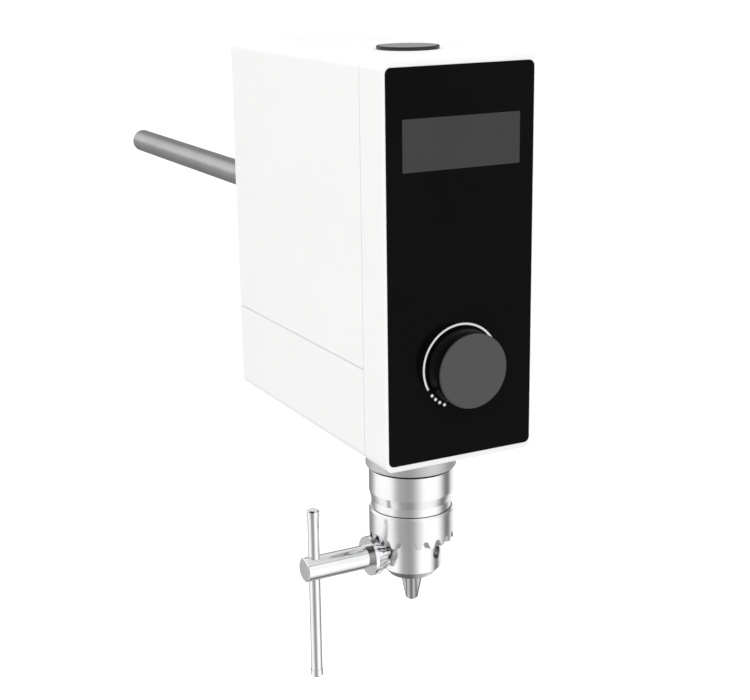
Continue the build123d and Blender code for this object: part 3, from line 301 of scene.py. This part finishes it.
def shade_chuck_top(made):
    """Darkens the chuck's upper face, which lies in the shadow of the gap under the boss."""
    z = made.split(made.where())[2]
    shadow = made.span(z, chuck_top_z - 0.32 * mm, chuck_top_z - 0.22 * mm, 0.0, 1.0)
    lit = made.shader.inputs["Base Color"].links[0].from_socket
    made.to("Base Color", made.mix(shadow, lit, grey(0.015)))


# Plastics, paint and rubber
white = paint("white_case", grey(0.855, 0.851), 0.45, 2400.0, 0.12, 0.3, 0.006)
dark_paint = paint("motor_dark", grey(0.03, 0.032), 0.4, 1800.0, 0.2, 0.4, 0.1)
black_plastic = paint("black_plastic", grey(0.012, 0.0125), 0.5, 2000.0, 0.3, 0.35, 0.1)
cap_dark = paint("cap_dark", grey(0.015, 0.0155), 0.38, 2200.0, 0.15, 0.35, 0.1)
rubber = paint("black_rubber", grey(0.018), 0.75, 1500.0, 0.4, 0.25, 0.1)
ink = paint("mark_white", grey(0.90, 0.89), 0.5, 3000.0, 0.05, 0.3, 0.01)
panel_tones = (grey(0.0026, 0.0027), grey(0.0034, 0.0035))
panel = glazed("panel_black", panel_tones, (30.0, 4.0), 0.03, 0.10, (0.04, 0.09))
screen_tones = (grey(0.046, 0.047), grey(0.051, 0.052))
screen = glazed("display_grey", screen_tones, (12.0, 2.0), 0.06, 0.10, (0.07, 0.13))
board = circuit_board()
knob = knob_finish()

# Metals
chrome = turned("satin_chrome", grey(0.90, 0.91), 0.18, 0.35 * mm, 0.06)
shade_chuck_top(chrome)
boss = turned("boss_aluminium", grey(0.66, 0.665), 0.50, 0.5 * mm, 0.12)
cap_grey = turned("cap_grey", grey(0.34, 0.35), 0.38, 0.4 * mm, 0.05)
cap_grey.set(Metallic=0.3)
bright = metal("bright_chrome", grey(0.86, 0.87), 0.09, (1, 1, 0.2), 0.02)
steel = metal("hard_steel", grey(0.40, 0.41), 0.30, (1, 1, 0.15), 0.08)
jaw_steel = metal("jaw_steel", grey(0.50, 0.51), 0.28, (1, 1, 0.15), 0.10)
rod_steel = metal("rod_steel", grey(0.50, 0.505), 0.20, (1, 0.05, 1), 0.10)
zinc = metal("screw_zinc", grey(0.62, 0.63), 0.30, (1, 1, 1), 0.05)
brass = metal("pin_brass", (0.76, 0.60, 0.30), 0.22, (1, 0.1, 1), 0.05)
coil = metal("copper_coil", (0.62, 0.28, 0.10), 0.38, (1, 1, 6), 0.5)
alloy = paint("cast_alloy", (0.42, 0.43, 0.44), 0.55, 900.0, 0.4, 0.5, 0.05)
alloy.set(Metallic=0.8)

finishes = [
    (white, ("front_frame", "upper_rear_cover", "lower_rear_cover")),
    (panel, ("front_panel",)),
    (screen, ("display_window",)),
    (knob, ("knob",)),
    (board, ("control_board", "driver_board")),
    (black_plastic, ("display_module", "switch_plunger", "power_inlet", "switch_housing", "switch_rocker")),
    (dark_paint, ("motor_can", "capacitors", "rod_lock_screw")),
    (rubber, ("shaft_seal", "drive_belt")),
    (cap_dark, ("top_cap",)),
    (cap_grey, ("cap_inlay",)),
    (alloy, ("chassis", "motor_end_plate")),
    (boss, ("spindle_housing", "spindle_pulley", "motor_pulley")),
    (chrome, ("chuck_body", "chuck_sleeve")),
    (bright, ("chuck_key", "key_bar")),
    (steel, ("spindle", "motor_rotor", "chuck_nut")),
    (jaw_steel, ("jaw_1", "jaw_2", "jaw_3")),
    (rod_steel, ("support_rod",)),
    (brass, ("inlet_pins",)),
    (coil, ("motor_stator",)),
    (zinc, ("board_screws", "rear_cover_screws", "frame_screws", "flange_screws", "motor_screws")),
    (zinc, ("encoder_body", "encoder_nut", "encoder_shaft", "bearing_nut", "motor_bearings")),
    (zinc, ("lower_bearing_outer_ring", "lower_bearing_inner_ring")),
    (zinc, ("upper_bearing_outer_ring", "upper_bearing_inner_ring")),
]
finish_of = {name: finish for finish, names in finishes for name in names}
for name, node in nodes.items():
    node.data.materials.clear()
    node.data.materials.append(finish_of[name].material)
# The photograph shows no reflection of the cross bar in the chuck
nodes["key_bar"].visible_glossy = False


# Print round the dial
print_height = 0.04 * mm
print_thickness = 0.1 * mm
dial_radius = 21.6 * mm
dial_line = 1.1 * mm
dial_start = 209.4
dial_end = -30.0
dot_radius = 0.85 * mm
dot_angles = (218.5, 226.5, 234.8, 243.3)


def print_piece(name, outlines):
    """A thin plate on the panel from closed outlines in x and z, its back in the panel."""
    front_y = panel_front_y - print_height
    mesh_builder = bmesh.new()
    for outline in outlines:
        front = [mesh_builder.verts.new((x, front_y, z)) for x, z in outline]
        back = [mesh_builder.verts.new((x, front_y + print_thickness, z)) for x, z in outline]
        mesh_builder.faces.new(front)
        mesh_builder.faces.new(list(reversed(back)))
        count = len(outline)
        for here in range(count):
            after = (here + 1) % count
            mesh_builder.faces.new((front[after], front[here], back[here], back[after]))
    bmesh.ops.recalc_face_normals(mesh_builder, faces=mesh_builder.faces)
    mesh = bpy.data.meshes.new(name)
    mesh_builder.to_mesh(mesh)
    mesh_builder.free()
    piece = bpy.data.objects.new(name, mesh)
    bpy.context.scene.collection.objects.link(piece)
    mesh.materials.append(ink.material)
    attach(piece, "housing")


def on_dial(radius, degrees):
    """A point round the dial's centre, with degrees from +x towards +z."""
    angle = math.radians(degrees)
    return (radius * math.cos(angle), knob_z + radius * math.sin(angle))


def dot_outline(degrees, count=24):
    x, z = on_dial(dial_radius, degrees)
    turns = [2 * math.pi * index / count for index in range(count)]
    return [(x + dot_radius * math.cos(turn), z + dot_radius * math.sin(turn)) for turn in turns]


def half_round(degrees, side):
    """Half a circle over the line's width, bulging the way the line runs, from side to side."""
    x, z = on_dial(dial_radius, degrees)
    angle = math.radians(degrees)
    runs = 1 if dial_end > dial_start else -1
    points = []
    for index in range(1, 6):
        turn = math.pi * index / 6
        across = side * math.cos(turn) * dial_line / 2
        along = runs * math.sin(turn) * dial_line / 2
        point_x = x + across * math.cos(angle) - along * math.sin(angle)
        point_z = z + across * math.sin(angle) + along * math.cos(angle)
        points.append((point_x, point_z))
    return points


def dial_outline(steps=120):
    """The dial's line: its far end is round, and its near end is hollow by the same curve."""
    angles = [dial_start + (dial_end - dial_start) * step / steps for step in range(steps + 1)]
    outer = [on_dial(dial_radius + dial_line / 2, angle) for angle in angles]
    inner = [on_dial(dial_radius - dial_line / 2, angle) for angle in reversed(angles)]
    return outer + half_round(dial_end, 1) + inner + half_round(dial_start, -1)


print_piece("dial_ring", [dial_outline()])
print_piece("dial_dots", [dot_outline(angle) for angle in dot_angles])

# Floor, which glows a little to the camera and isn't mirrored by the metals
floor_z = -0.46
floor_size = 60.0
floor_glow = 0.25


def make_floor():
    material = bpy.data.materials.new("floor_pale")
    material.use_nodes = True
    made = Tree(material.node_tree)
    matt = made.tree.nodes["Principled BSDF"]
    matt.inputs["Base Color"].default_value = (0.9, 0.9, 0.9, 1)
    matt.inputs["Roughness"].default_value = 0.95
    glow = made.new("ShaderNodeEmission")
    glow.inputs["Color"].default_value = (1, 1, 1, 1)
    glow.inputs["Strength"].default_value = floor_glow
    lit = made.new("ShaderNodeAddShader")
    made.link(matt.outputs[0], lit.inputs[0])
    made.link(glow.outputs[0], lit.inputs[1])
    path = made.new("ShaderNodeLightPath")
    seen = made.calc("MAXIMUM", path.outputs["Is Camera Ray"], path.outputs["Is Glossy Ray"])
    swap = made.new("ShaderNodeMixShader")
    made.link(seen, swap.inputs[0])
    made.link(matt.outputs[0], swap.inputs[1])
    made.link(lit.outputs[0], swap.inputs[2])
    made.link(swap.outputs[0], made.tree.nodes["Material Output"].inputs["Surface"])
    mesh_builder = bmesh.new()
    bmesh.ops.create_grid(mesh_builder, x_segments=1, y_segments=1, size=floor_size)
    mesh = bpy.data.meshes.new("floor")
    mesh_builder.to_mesh(mesh)
    mesh_builder.free()
    floor = bpy.data.objects.new("floor", mesh)
    floor.location = (0, 0, floor_z)
    floor.visible_glossy = False
    bpy.context.scene.collection.objects.link(floor)
    mesh.materials.append(material)


make_floor()

# World: what the metals mirror, by azimuth in degrees from the camera's own side
reflection_strength = 1.25
diffuse_strength = 1.12
low_ring = [
    (-170, 0.28), (-145, 0.28), (-128, 0.50), (-112, 0.98), (-95, 1.08), (-66, 1.10), (-55, 0.98),
    (-46, 0.66), (-36, 0.45), (-26, 0.41), (-12, 0.36), (-3, 0.36), (6, 0.45), (14, 0.64), (22, 0.86),
    (33, 1.12), (50, 1.24), (66, 1.20), (78, 1.10), (88, 0.82), (98, 0.42), (108, 0.20), (118, 0.22),
    (128, 0.42), (140, 0.90), (155, 1.0), (168, 0.50),
]
high_ring = [
    (-172, 0.32), (-158, 0.36), (-142, 0.85), (-128, 1.05), (-95, 1.12), (-63, 1.02), (-50, 0.70),
    (-36, 0.45), (-12, 0.36), (-3, 0.38), (14, 0.72), (33, 1.10), (65, 1.10), (85, 0.80), (98, 0.40),
    (120, 0.22), (135, 0.28), (155, 0.22), (172, 0.30),
]
# Shares by elevation: dark above the lamps, pale round the horizon, grey towards the floor
by_elevation = [
    (-90, 0.22), (-60, 0.55), (-44, 0.92), (-30, 1.0), (-18, 1.0),
    (36, 1.0), (44, 0.50), (52, 0.12), (90, 0.05),
]
diffuse_levels = [(0.0, 0.30), (0.5, 0.82), (1.0, 1.03)]


def ring_stops(bands):
    """Ramp stops for a closed ring of azimuths, so that both ends of the ramp meet."""
    stops = []
    for azimuth, level in bands:
        position = ((azimuth + camera_azimuth) / 360 + 0.5) % 1.0
        stops.append((position, level / reflection_strength))
    stops.sort()
    first, last = stops[0], stops[-1]
    gap = first[0] + 1 - last[0]
    edge = last[1] + (first[1] - last[1]) * (1 - last[0]) / gap
    return [(0.0, edge)] + stops + [(1.0, edge)]


def lifted(stops):
    """Ramp stops for elevations in degrees."""
    return [(elevation / 180 + 0.5, level) for elevation, level in stops]


def make_world():
    world = bpy.data.worlds.new("world")
    bpy.context.scene.world = world
    world.use_nodes = True
    made = Tree(world.node_tree)
    for node in list(made.tree.nodes):
        made.tree.nodes.remove(node)

    def background(strength, color=None):
        node = made.new("ShaderNodeBackground")
        node.inputs["Strength"].default_value = strength
        if color is not None:
            made.link(color, node.inputs["Color"])
        return node.outputs[0]

    def choose(factor, first, second):
        node = made.new("ShaderNodeMixShader")
        made.link(factor, node.inputs[0])
        made.link(first, node.inputs[1])
        made.link(second, node.inputs[2])
        return node.outputs[0]

    x, y, z = made.split(made.new("ShaderNodeTexCoord").outputs["Generated"])
    # Azimuth from the front, 0 to 1 for -180 to 180 degrees, and the height above the horizon
    azimuth = made.calc("ARCTAN2", x, made.calc("MULTIPLY", y, -1.0))
    around = made.calc("ADD", made.calc("MULTIPLY", azimuth, 1 / (2 * math.pi)), 0.5)
    height = made.calc("MULTIPLY_ADD", made.calc("ARCSINE", z), 1 / math.pi, 0.5)
    low_around = made.ramp(around, ring_stops(low_ring))
    high_around = made.ramp(around, ring_stops(high_ring))
    lift = made.ramp(height, lifted([(-8, 0.0), (10, 1.0)]), "EASE")
    upward = made.ramp(height, lifted(by_elevation))
    studio = made.mix(1.0, made.mix(lift, low_around, high_around), upward, "MULTIPLY")
    diffuse = made.ramp(made.calc("MULTIPLY_ADD", z, 0.5, 0.5), diffuse_levels)

    path = made.new("ShaderNodeLightPath")
    mirrored = made.calc("MAXIMUM", path.outputs["Is Glossy Ray"], path.outputs["Is Transmission Ray"])
    spread = background(diffuse_strength, diffuse)
    lighting = choose(mirrored, spread, background(reflection_strength, studio))
    seen = choose(path.outputs["Is Camera Ray"], lighting, background(1.0))
    output = made.new("ShaderNodeOutputWorld")
    made.link(seen, output.inputs["Surface"])


make_world()


def make_lamp(name, size, energy, location, target):
    data = bpy.data.lights.new(name, "AREA")
    data.shape = "DISK"
    data.size = size
    data.energy = energy
    lamp = bpy.data.objects.new(name, data)
    bpy.context.scene.collection.objects.link(lamp)
    lamp.location = location
    lamp.rotation_euler = (Vector(target) - Vector(location)).to_track_quat("-Z", "Y").to_euler()
    lamp.visible_camera = False
    lamp.visible_glossy = False


make_lamp("lamp_top", 1.2, 9.5, (-0.3, -0.5, 1.5), (0, -0.09, 0))

bpy.context.scene.view_settings.view_transform = "Standard"
